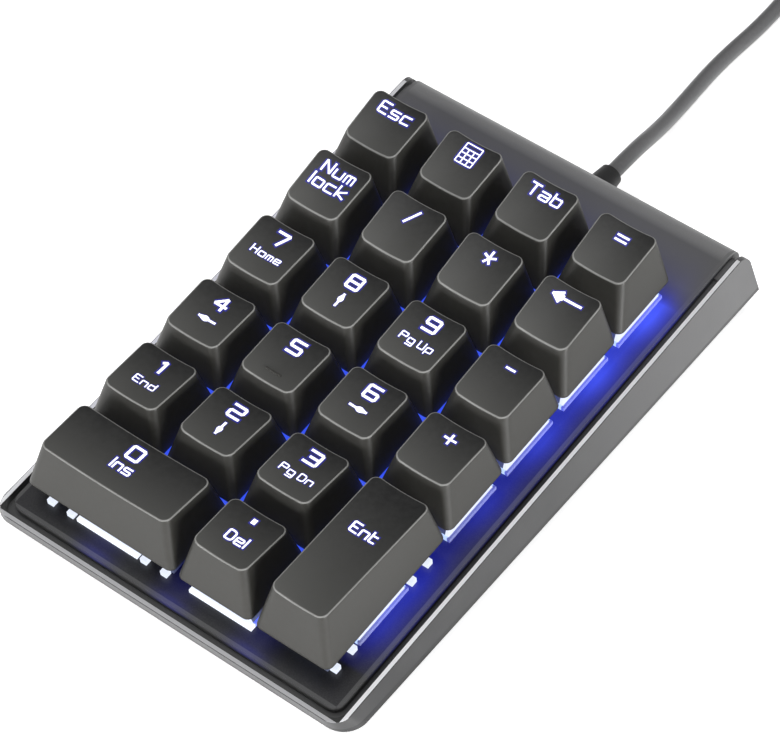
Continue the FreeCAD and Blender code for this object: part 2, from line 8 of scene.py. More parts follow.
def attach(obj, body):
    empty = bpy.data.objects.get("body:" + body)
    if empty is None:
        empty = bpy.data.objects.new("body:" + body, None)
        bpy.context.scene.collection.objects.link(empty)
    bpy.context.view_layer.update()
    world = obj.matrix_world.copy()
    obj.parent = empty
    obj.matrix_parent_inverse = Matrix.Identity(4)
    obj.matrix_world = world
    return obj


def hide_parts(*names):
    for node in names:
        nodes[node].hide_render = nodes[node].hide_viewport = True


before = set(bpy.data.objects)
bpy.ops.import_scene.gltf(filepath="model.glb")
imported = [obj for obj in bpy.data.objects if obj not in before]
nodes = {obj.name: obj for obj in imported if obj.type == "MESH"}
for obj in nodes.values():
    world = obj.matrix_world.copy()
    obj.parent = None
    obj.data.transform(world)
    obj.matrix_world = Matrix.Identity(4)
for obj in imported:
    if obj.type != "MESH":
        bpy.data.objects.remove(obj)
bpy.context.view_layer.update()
mm = 0.001
metre = 1000.0  # in millimetres

# Camera
cameraSetup = {
    "place": (0.26936, -0.33723, 0.54740),
    "turn": (39.14084, 0.85552, 37.35125),  # degrees about X, Y, Z
    "lens": 156.587,
    "sensor": 36.0,
    "nearest": 0.05,
}


def makeCamera():
    data = bpy.data.cameras.new("photoCamera")
    data.lens = cameraSetup["lens"]
    data.sensor_width = cameraSetup["sensor"]
    data.clip_start = cameraSetup["nearest"]
    camera = bpy.data.objects.new("photoCamera", data)
    camera.location = cameraSetup["place"]
    camera.rotation_euler = Euler([math.radians(a) for a in cameraSetup["turn"]], "XYZ")
    bpy.context.scene.collection.objects.link(camera)
    bpy.context.scene.camera = camera


makeCamera()
print("camera set")


# Shader maths: a wrapped socket that can be added, multiplied and so on
class Wave:
    def __init__(self, tree, socket):
        self.tree = tree
        self.socket = socket

    def calc(self, operation, first, second=None, clamp=False):
        node = self.tree.nodes.new("ShaderNodeMath")
        node.operation = operation
        node.use_clamp = clamp
        for place, value in enumerate((first, second)):
            if isinstance(value, Wave):
                self.tree.links.new(value.socket, node.inputs[place])
            elif value is not None:
                node.inputs[place].default_value = value
        return Wave(self.tree, node.outputs[0])

    def __add__(self, other):
        return self.calc("ADD", self, other)

    def __radd__(self, other):
        return self.calc("ADD", other, self)

    def __sub__(self, other):
        return self.calc("SUBTRACT", self, other)

    def __rsub__(self, other):
        return self.calc("SUBTRACT", other, self)

    def __mul__(self, other):
        return self.calc("MULTIPLY", self, other)

    def __rmul__(self, other):
        return self.calc("MULTIPLY", other, self)

    def __truediv__(self, other):
        return self.calc("DIVIDE", self, other)

    def __pow__(self, other):
        return self.calc("POWER", self, other)

    def __abs__(self):
        return self.calc("ABSOLUTE", self)

    def clamped(self):
        return self.calc("ADD", self, 0.0, clamp=True)

    def above(self, other):
        return self.calc("MAXIMUM", self, other)

    def below(self, other):
        return self.calc("MINIMUM", self, other)

    def wave(self):
        return self.calc("COSINE", self)

    def fade(self):  # e to the power of minus this
        return self.calc("POWER", math.e, 0.0 - self)

    def over(self, other):
        return self.calc("GREATER_THAN", self, other)


noiseRoughness = 0.55


class Finish:
    def __init__(self, name, settings):
        self.material = bpy.data.materials.new(name)
        self.material.use_nodes = True
        self.tree = self.material.node_tree
        self.shader = self.tree.nodes["Principled BSDF"]
        for socket, value in settings.items():
            self.shader.inputs[socket].default_value = value

    def node(self, kind, settings=None, inputs=None, out=0):
        made = self.tree.nodes.new(kind)
        for key, value in (settings or {}).items():
            setattr(made, key, value)
        for key, value in (inputs or {}).items():
            if isinstance(value, Wave):
                self.tree.links.new(value.socket, made.inputs[key])
            else:
                made.inputs[key].default_value = value
        return Wave(self.tree, made.outputs[out])

    def feed(self, socket, value):
        self.tree.links.new(value.socket, self.shader.inputs[socket])

    def place(self, which="Object"):
        return self.node("ShaderNodeTexCoord", out=which)

    def axes(self, point):
        made = self.tree.nodes.new("ShaderNodeSeparateXYZ")
        self.tree.links.new(point.socket, made.inputs[0])
        return [Wave(self.tree, made.outputs[i]) for i in range(3)]

    def noise(self, scale, detail=3.0):
        return self.node(
            "ShaderNodeTexNoise", {"noise_dimensions": "3D"},
            {"Vector": self.place(), "Scale": scale, "Detail": detail, "Roughness": noiseRoughness},
        )

    def mix(self, factor, first, second):
        made = self.tree.nodes.new("ShaderNodeMix")
        made.data_type = "RGBA"
        made.clamp_factor = True
        for place, value in ((0, factor), (6, first), (7, second)):
            if isinstance(value, Wave):
                self.tree.links.new(value.socket, made.inputs[place])
            elif place == 0:
                made.inputs[0].default_value = value
            else:
                made.inputs[place].default_value = (*value, 1.0)
        return Wave(self.tree, made.outputs[2])

    def bump(self, height, distance, strength=1.0):
        made = self.node(
            "ShaderNodeBump", {}, {"Height": height, "Strength": strength, "Distance": distance}
        )
        self.feed("Normal", made)


def ranged(value, low, high):  # noise value spread between two numbers
    return value * (high - low) + low


def ramp(value, start, reach):  # climbs from zero at start to one a reach further on
    return ((value - start) / reach).clamped()


# Cord: route points as in the solids' source, in millimetres
cordSetup = {
    "route": [
        (3.7, 75.5, 10.8), (3.7, 84.5, 10.8), (2.2, 96.0, 6.2), (0.2, 108.5, 2.4),
        (-0.8, 124.0, 1.8), (0.6, 142.0, 1.8), (-0.6, 160.0, 1.8), (-0.2, 178.0, 1.8),
    ],
    "tail": [(59.6, 178.0, 5.4), (59.6, 166.5, 3.8), (59.6, 155.0, 3.8)],
    "thickness": 3.6,
    "coilCentre": (29.7, 178.0),
    "coilOuter": 29.9,
    "columns": 6,
    "pointsPerTurn": 16,
    "jump": 0.3,  # share of a turn in which the cord moves over to the next column
    "length": 1.6,
}


def coilPoints():
    points = []
    thick = cordSetup["thickness"]
    steps = cordSetup["pointsPerTurn"]
    columns = cordSetup["columns"]
    cx, cy = cordSetup["coilCentre"]
    grow = 1 / math.cos(math.pi / steps) ** 2  # the spline runs inside its points
    total = int((2 * columns - 0.5) * steps)
    for i in range(1, total):
        turn, share = divmod(i / steps, 1.0)
        slide = max(0.0, (share - 1 + cordSetup["jump"]) / cordSetup["jump"])
        slide = slide * slide * (3 - 2 * slide)
        along = turn + slide
        if along <= columns - 1:
            column, layer = along, 0.0
        elif along < columns:
            column, layer = columns - 1, along - (columns - 1)
        else:
            column, layer = 2 * columns - 1 - along, 1.0
        radius = (cordSetup["coilOuter"] - column * thick) * grow
        angle = math.pi - 2 * math.pi * i / steps
        place = (cx + radius * math.cos(angle), cy + radius * math.sin(angle))
        points.append((*place, thick * (0.5 + layer)))
    return points


def makeCord():
    route = cordSetup["route"] + coilPoints() + cordSetup["tail"]
    data = bpy.data.curves.new("cord", "CURVE")
    data.dimensions = "3D"
    data.bevel_depth = 1.0
    data.bevel_resolution = 5
    data.resolution_u = 5
    data.use_fill_caps = True
    spline = data.splines.new("NURBS")
    spline.points.add(len(route) - 1)
    for point, place in zip(spline.points, route):
        point.co = (place[0] * mm, place[1] * mm, place[2] * mm, 1.0)
        point.radius = cordSetup["thickness"] / 2 * mm  # keeps the curve's own box tight
    spline.order_u = 3
    spline.use_endpoint_u = True
    cord = bpy.data.objects.new("cord", data)
    bpy.context.scene.collection.objects.link(cord)
    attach(cord, "case")
    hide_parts("cable", "cable_coil")
    return cord


def makeObject(name, vertices, faces, materials, body, smooth=True):
    data = bpy.data.meshes.new(name)
    data.from_pydata([tuple(v) for v in vertices], [], faces)
    data.validate()
    clean = bmesh.new()
    clean.from_mesh(data)
    bmesh.ops.recalc_face_normals(clean, faces=clean.faces)
    clean.to_mesh(data)
    clean.free()
    if smooth:
        data.shade_smooth()
    for material in materials:
        data.materials.append(material)
    made = bpy.data.objects.new(name, data)
    bpy.context.scene.collection.objects.link(made)
    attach(made, body)
    return made


tieSetup = {
    "width": 5.0, "thickness": 0.7, "angle": 90.0, "radius": 1.4, "play": 0.1,
    "insideLow": 0.25, "outsideLow": 0.02, "cornerSteps": 4,
}


def makeTie(material):
    thick = cordSetup["thickness"]
    play = tieSetup["play"]
    corner = tieSetup["cornerSteps"]
    outer = cordSetup["coilOuter"] + thick / 2 + play
    inner = cordSetup["coilOuter"] - (cordSetup["columns"] - 0.5) * thick - play
    high = 2 * thick + play
    rings = []
    for grow in (0.0, tieSetup["thickness"]):
        ring = []
        r = tieSetup["radius"] + grow
        low = tieSetup["insideLow"] if grow == 0 else tieSetup["outsideLow"]
        for cx, cz, start in (
            (outer + grow - r, high + grow - r, 0), (inner - grow + r, high + grow - r, 90),
            (inner - grow + r, low + r, 180), (outer + grow - r, low + r, 270),
        ):
            for step in range(corner + 1):
                a = math.radians(start + step * 90 / corner)
                ring.append((cx + r * math.cos(a), cz + r * math.sin(a)))
        rings.append(ring)
    turn = math.radians(tieSetup["angle"])
    cx, cy = cordSetup["coilCentre"]
    vertices, faces = [], []
    for side in (-0.5, 0.5):
        for ring in rings:
            for radius, z in ring:
                across = side * tieSetup["width"]
                x = cx + radius * math.cos(turn) - across * math.sin(turn)
                y = cy + radius * math.sin(turn) + across * math.cos(turn)
                vertices.append((x * mm, y * mm, z * mm))
    count = len(rings[0])
    for i in range(count):
        j = (i + 1) % count
        a0, a1, b0, b1 = 0, count, 2 * count, 3 * count
        faces.append((a0 + i, a0 + j, a1 + j, a1 + i))
        faces.append((b0 + i, b1 + i, b1 + j, b0 + j))
        faces.append((a1 + i, a1 + j, b1 + j, b1 + i))
        faces.append((a0 + i, b0 + i, b0 + j, a0 + j))
    tie = makeObject("cordTie", vertices, faces, [material], "case", smooth=False)
    return tie


# Deck: the tilted frame of the top plate
tilt = math.radians(4.0)
deckOrigin = Vector((0.0, -8.1, 15.5))
deckTurn = Matrix.Rotation(tilt, 3, "X")
gridShift = -0.44  # the key grid stands this far from the case's middle, in millimetres
pitch = 19.05  # from key to key


def fromDeck(point):
    return (deckTurn @ Vector(point) + deckOrigin) * mm


def deckHeights(finish, point):  # place on the deck, in millimetres, as x, y, z
    x, y, z = finish.axes(point)
    forward = y * metre - deckOrigin.y
    upward = z * metre - deckOrigin.z
    return (
        x * metre,
        forward * math.cos(tilt) + upward * math.sin(tilt),
        upward * math.cos(tilt) - forward * math.sin(tilt),
    )


# Finishes
capLook = {
    # the top's rear and front colours are painted shade and painted light
    "rear": (0.006, 0.006, 0.006), "front": (0.080, 0.080, 0.075),
    # the edge colour is a painted highlight on the top's rounded edge
    "side": (0.034, 0.033, 0.029), "edge": (0.26, 0.26, 0.25), "patch": (0.07, 0.07, 0.068),
    "paintedLightFrom": 0.1, "paintedLightGain": 1.25,  # painted light along the top, from painted shade at the rear edge to a lighter front, as shares of the cap's own depth
    "patchScale": 900.0, "patchShare": 0.4, "patchBase": 0.06, "roughness": (0.36, 0.5),
    "grainScale": 5200.0, "grainDepth": 0.00003, "grainStrength": 0.35,
}


def capFinish():
    look = capLook
    finish = Finish("capPlastic", {"Roughness": 0.42, "Specular IOR Level": 0.42})
    _, along, _ = finish.axes(finish.place("Generated"))
    patch = finish.noise(look["patchScale"], 4.0)
    place = finish.node("ShaderNodeAttribute", {"attribute_name": "capPlace"}, out="Vector")
    onTop, edgeHighlightMask, _ = finish.axes(place)
    # painted light: the top runs from painted shade at its rear edge to a lighter front
    forward = ((1.0 - along - look["paintedLightFrom"]) * look["paintedLightGain"]).clamped()
    top = finish.mix(forward, look["rear"], look["front"])
    colour = finish.mix(onTop, look["side"], top)
    # painted highlight along the top's rounded edge
    colour = finish.mix(edgeHighlightMask, colour, look["edge"])
    patchy = (patch - 0.5) * look["patchShare"] + look["patchBase"]
    finish.feed("Base Color", finish.mix(patchy, colour, look["patch"]))
    finish.feed("Roughness", ranged(patch, *look["roughness"]))
    grain = finish.noise(look["grainScale"], 2.0)
    finish.bump(grain, look["grainDepth"], look["grainStrength"])
    return finish.material


def glowFinish(name, colour, strength):
    base = tuple(min(0.6, c + 0.01) for c in colour)
    settings = {"Base Color": (*base, 1.0), "Roughness": 0.5, "Emission Strength": strength}
    finish = Finish(name, settings)
    cloud = finish.noise(1400.0, 2.0)
    dim = tuple(c * 0.86 for c in colour)
    finish.feed("Emission Color", finish.mix(cloud, dim, colour))
    return finish.material


plateLook = {  # painted light and shade: darker towards the front, lighter towards the rear, with a painted highlight on the rolled rear edge; places along the deck as start and reach, in millimetres
    "front": (0.008, 0.008, 0.010), "middle": (0.030, 0.030, 0.031),
    "rear": (0.105, 0.105, 0.103), "rollHighlight": (0.40, 0.40, 0.397),
    "sheetEdgeHighlight": (0.12, 0.12, 0.12), "grain": (0.10, 0.10, 0.10),
    "toMiddle": (10.0, 46.0), "toRear": (52.0, 8.0), "toRoll": (69.8, 5.5),
    "edgeX": 40.25, "edgeY": 58.95, "edgeShare": 0.5,
    "grainScale": 3800.0, "grainShare": 0.4, "grainBase": 0.05, "grainDepth": 0.00004,
    "cloudScale": 90.0, "roughness": (0.36, 0.5),
    "near": (0.045, 0.085, 1.0), "far": (0.006, 0.008, 0.52), "tintPower": 1.5,
    "sideFrom": 37.6, "reach": 4.8, "sidePower": 0.8, "rearFrom": 54.0, "rearReach": 3.5,
    "waveShift": 2.32, "waveHigh": 0.16, "waveMiddle": 0.84,
    "frontFrom": 50.0, "frontRise": 57.5, "frontHalf": 28.0, "frontStrength": 0.16,
}
alongLook = {"start": 0.56, "over": 95.0, "tallMiddle": -36.0, "tallReach": 9.0, "tallStrength": 0.55}


def glowAlong(y):  # the light fades towards the front and comes up again beside the tall key
    tall = (y - alongLook["tallMiddle"]) / alongLook["tallReach"]
    fading = (y / alongLook["over"] + alongLook["start"]).clamped()
    return fading, (tall * tall).fade() * alongLook["tallStrength"]


def plateGlow(x, y):  # how strongly the plate is lit beside and in front of the keys
    look = plateLook
    shifted = x - gridShift
    outside = (abs(shifted) - look["sideFrom"]).above(0.0)
    side = ((0.0 - outside / look["reach"]) + 1.0).clamped()
    ripple = (y * (2 * math.pi / pitch) + look["waveShift"]).wave()  # one per row of keys
    wave = ripple * look["waveHigh"] + look["waveMiddle"]
    along, bump = glowAlong(y)
    rear = ((y - look["rearFrom"]).above(0.0) / look["rearReach"]).fade()
    inFront = (0.0 - y - look["frontFrom"]).clamped()
    spots = (shifted * (2 * math.pi / pitch)).wave() * 0.5 + 0.5
    rise = (0.0 - y - look["frontRise"]).clamped() * 0.5 + 0.5
    within = (look["frontHalf"] - abs(shifted)).clamped()
    front = spots * spots * rise * within * look["frontStrength"]
    beside = (side ** look["sidePower"]) * wave * rear * (along + bump).clamped()
    return beside * (1.0 - inFront) + front * inFront


def plateFinish():
    look = plateLook
    finish = Finish("plateMetal", {"Roughness": 0.4, "Emission Strength": 1.0})
    x, y, _ = deckHeights(finish, finish.place())
    grain = finish.noise(look["grainScale"], 3.0)
    cloud = finish.noise(look["cloudScale"], 3.0)
    # painted shade towards the front, painted light towards the rear and a painted highlight on the
    # roll
    base = finish.mix(ramp(y, *look["toMiddle"]), look["front"], look["middle"])
    base = finish.mix(ramp(y, *look["toRear"]), base, look["rear"])
    base = finish.mix(ramp(y, *look["toRoll"]), base, look["rollHighlight"])
    atSide = (abs(x) - look["edgeX"]).over(0.0)  # painted highlight line along the sheet's edge
    edge = (atSide + (0.0 - y - look["edgeY"]).over(0.0)).clamped()
    base = finish.mix(edge * look["edgeShare"], base, look["sheetEdgeHighlight"])
    grainy = (grain - 0.5) * look["grainShare"] + look["grainBase"]
    finish.feed("Base Color", finish.mix(grainy, base, look["grain"]))
    finish.feed("Roughness", ranged(cloud, *look["roughness"]))
    finish.bump(grain, look["grainDepth"], 0.5)
    glow = plateGlow(x, y)
    tint = finish.mix(glow ** look["tintPower"], look["far"], look["near"])
    finish.feed("Emission Color", finish.mix(glow, (0.0, 0.0, 0.0), tint))
    return finish.material


caseLook = {
    "body": (0.036, 0.036, 0.037), "rear": (0.13, 0.13, 0.132), "rim": (0.80, 0.80, 0.82),
    "frontRimHighlight": (0.42, 0.42, 0.43), "dark": (0.016, 0.016, 0.016), "cloud": (0.13, 0.13, 0.132),
    "toRear": (5.0, 65.0), "toFront": (48.0, 14.0), "frontLightShare": 0.25,
    "cloudScale": 140.0, "cloudShare": 0.3, "cloudBase": 0.08, "roughness": (0.32, 0.46),
    "waist": 7.6, "waistHalf": 0.9, "waistShare": 0.6,
    "rimZ": -0.68, "rimSide": 42.2,  # the rim's painted highlight band runs between two lines on each side, with painted shade beside it
    "bandX": (42.55, 43.38), "bandY": (61.45, 62.28), "sideEnd": 61.5, "frontEnd": 43.0,
    "grainScale": 4200.0, "grainDepth": 0.00003,
}


def caseFinish():
    look = caseLook
    finish = Finish("caseSatin", {"Roughness": 0.38, "Specular IOR Level": 0.5})
    x, y, z = deckHeights(finish, finish.place())
    high = finish.axes(finish.place())[2] * metre
    grain = finish.noise(look["grainScale"], 2.0)
    cloud = finish.noise(look["cloudScale"], 3.0)
    # painted light and shade: the fascia is painted darker in the middle and lighter towards the rear
    # and, a little, towards the front
    body = finish.mix(ramp(y, *look["toRear"]), look["body"], look["rear"])
    body = finish.mix(ramp(0.0 - y, *look["toFront"]) * look["frontLightShare"], body, look["rear"])
    body = finish.mix((cloud - 0.5) * look["cloudShare"] + look["cloudBase"], body, look["cloud"])
    waist = (look["waistHalf"] - abs(high - look["waist"])).over(0.0)  # painted shade: a dark line at the widest part
    body = finish.mix(waist * look["waistShare"], body, look["dark"])
    onRim = (z - look["rimZ"]).over(0.0)
    atSide = (abs(x) - look["rimSide"]).over(0.0)
    nearX, farX = look["bandX"]
    nearY, farY = look["bandY"]
    inner = (abs(x) - nearX).over(0.0) * (farX - abs(x)).over(0.0)
    inFront = (0.0 - y - nearY).over(0.0) * (farY + y).over(0.0)
    # painted highlight on the rim's top, brighter on the sides than at the front, and painted shade on
    # the rest of the rim top
    rimHighlight = finish.mix(atSide, look["frontRimHighlight"], look["rim"])
    sides = inner * (y + look["sideEnd"]).over(0.0)
    ring = (sides + inFront * (look["frontEnd"] - abs(x)).over(0.0)).clamped()
    rim = finish.mix(ring, look["dark"], rimHighlight)
    finish.feed("Base Color", finish.mix(onRim, body, rim))
    finish.feed("Roughness", ranged(cloud, *look["roughness"]))
    finish.bump(grain, look["grainDepth"], 0.4)
    return finish.material


def plainFinish(name, colour, roughness, grainScale, metallic=0.0, depth=0.00003):
    finish = Finish(name, {"Metallic": metallic})
    grain = finish.noise(grainScale, 3.0)
    lighter = tuple(min(1.0, c * 1.35 + 0.01) for c in colour)
    finish.feed("Base Color", finish.mix(grain, colour, lighter))
    finish.feed("Roughness", ranged(grain, roughness - 0.06, roughness + 0.08))
    finish.bump(grain, depth, 0.4)
    return finish.material


litLook = {
    "white": (0.86, 0.91, 1.0), "body": (0.12, 0.14, 0.2, 1.0), "cloudScale": 700.0,
    "shade": (0.004, 0.004, 0.02), "field": (0.04, 0.09, 0.85), "cloud": (0.02, 0.03, 0.2),
    "lugsY": -54.0, "lugsX": 34.4,  # the lugs that show under the two double keys
    "fieldFront": (-47.0, 8.0), "fieldRight": (33.0, 3.0),
}


def litPlasticFinish():
    look = litLook
    finish = Finish(
        "litPlastic",
        {"Base Color": look["body"], "Roughness": 0.3, "Emission Strength": 1.0},
    )
    x, y, _ = deckHeights(finish, finish.place())
    cloud = finish.noise(look["cloudScale"], 3.0)
    lugs = ((look["lugsY"] - y).over(0.0) + (x - look["lugsX"]).over(0.0)).clamped()
    end, reach = look["fieldRight"]
    inField = ramp(y, *look["fieldFront"]) * ((end - x) / reach).clamped()
    colour = finish.mix(inField, look["shade"], look["field"])
    colour = finish.mix(lugs, colour, look["white"])
    # painted light: the backlight's glow in the housings is painted as emission, white at the lugs,
    # blue in the field and nearly black elsewhere
    finish.feed("Emission Color", finish.mix(cloud * 0.2, colour, look["cloud"]))
    finish.bump(cloud, 0.00002, 0.3)
    return finish.material


baseLook = {
    "body": (0.3, 0.32, 0.4), "dark": (0.015, 0.015, 0.015), "grain": (0.03, 0.03, 0.03),
    "field": (0.05, 0.11, 0.95), "right": (0.45, 0.62, 1.0),
    "edgeDark": (0.0, 0.0, 0.02), "edgeBlue": (0.02, 0.04, 0.7),
    "litZ": 0.02, "frontY": -54.0, "rightX": 33.0, "edgeX": 35.1, "edgeGain": 6.0,
    "grainScale": 2600.0,
}


def baseFinish():
    look = baseLook
    finish = Finish("switchBase", {"Roughness": 0.45, "Emission Strength": 1.0})
    x, y, z = deckHeights(finish, finish.place())
    grain = finish.noise(look["grainScale"], 3.0)
    lit = (z - look["litZ"]).over(0.0)
    atFront = (look["frontY"] - y).over(0.0)
    atRight = (x - look["rightX"]).over(0.0)
    glow = finish.mix(atFront, look["field"], litLook["white"])
    glow = finish.mix(atRight, glow, look["right"])
    edge = ((x - look["edgeX"]) * look["edgeGain"]).clamped()  # out here it takes the plate's glow
    along, bump = glowAlong(y)
    outer = finish.mix((along + bump).clamped(), look["edgeDark"], look["edgeBlue"])
    glow = finish.mix(edge, glow, outer)
    dark = finish.mix(grain, look["dark"], look["grain"])
    # painted light: above the plate the flange takes a paler base colour and a painted glow; below it
    # stays dark
    finish.feed("Base Color", finish.mix(lit, dark, look["body"]))
    finish.feed("Emission Color", finish.mix(lit, (0.0, 0.0, 0.0), glow))
    finish.bump(grain, 0.00002, 0.3)
    return finish.material


plugLook = {
    "shellEnd": 0.123,  # the metal shell lies in front of this, in metres
    "shell": ((0.62, 0.62, 0.6), (0.78, 0.78, 0.76)),
    "grip": ((0.02, 0.02, 0.02), (0.035, 0.035, 0.035)),
    "roughness": (0.28, 0.42), "gripRougher": 0.12, "grainScale": 2500.0,
}


def plugFinish():
    look = plugLook
    finish = Finish("plugMixed", {"Specular IOR Level": 0.5})
    _, y, _ = finish.axes(finish.place())
    metal = (look["shellEnd"] - y).over(0.0)
    grain = finish.noise(look["grainScale"], 3.0)
    shell = finish.mix(grain, *look["shell"])
    grip = finish.mix(grain, *look["grip"])
    finish.feed("Base Color", finish.mix(metal, grip, shell))
    finish.feed("Metallic", metal)
    finish.feed("Roughness", ranged(grain, *look["roughness"]) + (1.0 - metal) * look["gripRougher"])
    finish.bump(grain, 0.00003, 0.4)
    return finish.material


finishes = {
    "cap": capFinish(),
    "legend": glowFinish("legendLight", (0.93, 0.95, 1.0), 1.15),
    "halo": glowFinish("legendHalo", (0.008, 0.008, 0.15), 1.0),
    "plate": plateFinish(),
    "case": caseFinish(),
    "lit": litPlasticFinish(),
    "base": baseFinish(),
    "stem": plainFinish("stemBlue", (0.03, 0.09, 0.32), 0.4, 2600.0),
    "steel": plainFinish("springSteel", (0.55, 0.55, 0.54), 0.3, 3000.0, 1.0),
    "board": plainFinish("boardMask", (0.012, 0.03, 0.018), 0.35, 1200.0),
    "lamp": glowFinish("lampLight", (0.10, 0.22, 1.0), 2.0),
    "screw": plainFinish("screwBlack", (0.05, 0.05, 0.052), 0.35, 3000.0, 0.9),
    "foot": plainFinish("footRubber", (0.018, 0.018, 0.018), 0.7, 3400.0, 0.0, 0.00006),
    "cord": plainFinish("cordJacket", (0.12, 0.12, 0.122), 0.36, 1500.0, 0.0, 0.00005),
    "relief": plainFinish("reliefRubber", (0.012, 0.012, 0.012), 0.5, 2600.0),
    "tie": plainFinish("tieBand", (0.02, 0.02, 0.02), 0.6, 3400.0, 0.0, 0.00008),
    "plug": plugFinish(),
}
print("finishes made:", len(finishes))

nodeFinishes = {
    "bottom_case": "case", "top_plate": "plate", "circuit_board": "board", "switch_bases": "base",
    "switch_covers": "lit", "switch_springs": "steel", "backlight_lamps": "lamp",
    "stabiliser_housings": "lit", "case_screws": "screw", "rubber_feet": "foot",
    "strain_relief": "relief", "usb_plug": "plug",
    "stabiliser_wire_0": "steel", "stabiliser_wire_enter": "steel",
}


def dressNodes():
    for name, node in nodes.items():
        wanted = "stem" if name.startswith("stem_") else nodeFinishes.get(name)
        if wanted is None:
            continue
        node.data.materials.clear()
        node.data.materials.append(finishes[wanted])


dressNodes()

# Keycaps, in millimetres on the deck
capSetup = {
    "skirtSize": 18.1, "skirtHeight": 6.2, "skirtRadius": 1.6, "lip": 0.2,
    "topRear": 13.5, "topFront": 12.8, "topRadius": 1.8, "dish": 0.7,
    "edge": 0.32, "wall": 1.4, "roof": 2.0, "insideFoot": 0.9, "insideTop": 1.0,
    "arcSteps": 6, "sideSteps": 8, "edgeSteps": 5,
    "sideShares": (0.03, 0.35, 0.65), "sideDrops": (0.35, 0.02),  # up the side, then under the edge
    "topShares": (0.95, 0.8, 0.6, 0.38, 0.16),
    "insideShares": (0.5, 0.92), "roofShares": (0.93, 0.5),
    "middleColumn": 1.5, "middleRow": 2.5,
}
topRing = 8  # outer loops below this one belong to the side
edgeRing = 10  # and those from there up to this one to the rounded edge
rowProfiles = [  # rear y, rear z, front y, front z of the top, from the skirt up
    (8.1, 12.2, -4.7, 10.3), (8.1, 12.0, -5.3, 10.2), (8.0, 10.2, -6.0, 10.0),
    (7.8, 9.5, -6.0, 9.9), (8.0, 9.0, -5.9, 10.7), (7.6, 9.8, -5.9, 11.4),
]
enterProfile = (8.0, 9.9, -5.9, 12.3)
keyField = [  # name, column, row, units wide, units deep, legend lines
    ("esc", 0, 0, 1, 1, [("Esc", "word", 3.2)]),
    ("calculator", 1, 0, 1, 1, [("calculator", "sign", 3.6)]),
    ("tab", 2, 0, 1, 1, [("Tab", "word", 3.2)]),
    ("equals", 3, 0, 1, 1, [("=", "mark", 3.6)]),
    ("num_lock", 0, 1, 1, 1, [("Num", "word", 3.2), ("lock", "word", 6.9)]),
    ("divide", 1, 1, 1, 1, [("/", "mark", 3.9)]),
    ("multiply", 2, 1, 1, 1, [("*", "mark", 3.6)]),
    ("backspace", 3, 1, 1, 1, [("backward", "bold", 3.3)]),
    ("7", 0, 2, 1, 1, [("7", "digit", 3.6), ("Home", "small", 8.3)]),
    ("8", 1, 2, 1, 1, [("8", "digit", 3.7), ("up", "arrow", 8.8)]),
    ("9", 2, 2, 1, 1, [("9", "digit", 3.4), ("Pg Up", "small", 8.5)]),
    ("minus", 3, 2, 1, 1, [("-", "mark", 3.2)]),
    ("4", 0, 3, 1, 1, [("4", "digit", 3.5), ("left", "arrow", 8.3)]),
    ("5", 1, 3, 1, 1, [("5", "digit", 3.5)]),
    ("6", 2, 3, 1, 1, [("6", "digit", 3.6), ("right", "arrow", 8.3)]),
    ("plus", 3, 3, 1, 1, [("+", "mark", 3.8)]),
    ("1", 0, 4, 1, 1, [("1", "digit", 3.5), ("End", "small", 8.7)]),
    ("2", 1, 4, 1, 1, [("2", "digit", 3.5), ("down", "arrow", 8.6)]),
    ("3", 2, 4, 1, 1, [("3", "digit", 3.5), ("Pg Dn", "small", 8.7)]),
    ("enter", 3, 4.5, 1, 2, [("Ent", "middle", 12.1)]),
    ("0", 0.5, 5, 2, 1, [("0", "digit", 3.5), ("Ins", "middle", 7.5)]),
    ("decimal", 2, 5, 1, 1, [(".", "dot", 2.7), ("Del", "middle", 7.6)]),
]


def keyCentre(column, row):
    x = gridShift + (column - capSetup["middleColumn"]) * pitch
    return x, (capSetup["middleRow"] - row) * pitch


class CapShape:
    def __init__(self, profile, wide, deep):
        self.growX = (wide - 1) * pitch / 2
        self.growY = (deep - 1) * pitch / 2
        rearY, rearZ, frontY, frontZ = profile
        base = capSetup["skirtHeight"]
        self.rear = Vector((0, rearY + self.growY, base + rearZ))
        self.front = Vector((0, frontY - self.growY, base + frontZ))
        self.long = (self.rear - self.front).length
        self.forward = (self.front - self.rear) / self.long
        self.up = Vector((1, 0, 0)).cross(-self.forward)
        self.half = (capSetup["topRear"] + capSetup["topFront"]) / 4 + self.growX

    def dish(self, x):
        return capSetup["dish"] * max(0.0, 1 - (x / self.half) ** 2)

    def height(self, x, y):
        share = (y - self.front.y) / (self.rear.y - self.front.y)
        return self.front.z + share * (self.rear.z - self.front.z) - self.dish(x)

    def on(self, u, v, lift):  # a point of the top, v millimetres from its rear edge
        spot = self.rear + self.forward * v + self.up * (lift - self.dish(u))
        return Vector((spot.x + u, spot.y, spot.z))

    def topCorners(self, inset):
        rearX = capSetup["topRear"] / 2 + self.growX - inset
        frontX = capSetup["topFront"] / 2 + self.growX - inset
        y0 = self.front.y + inset
        y1 = self.rear.y - inset
        return [(-frontX, y0), (frontX, y0), (rearX, y1), (-rearX, y1)]

    def skirtCorners(self, inset):
        x = capSetup["skirtSize"] / 2 + self.growX - inset
        y = capSetup["skirtSize"] / 2 + self.growY - inset
        return [(-x, -y), (x, -y), (x, y), (-x, y)]


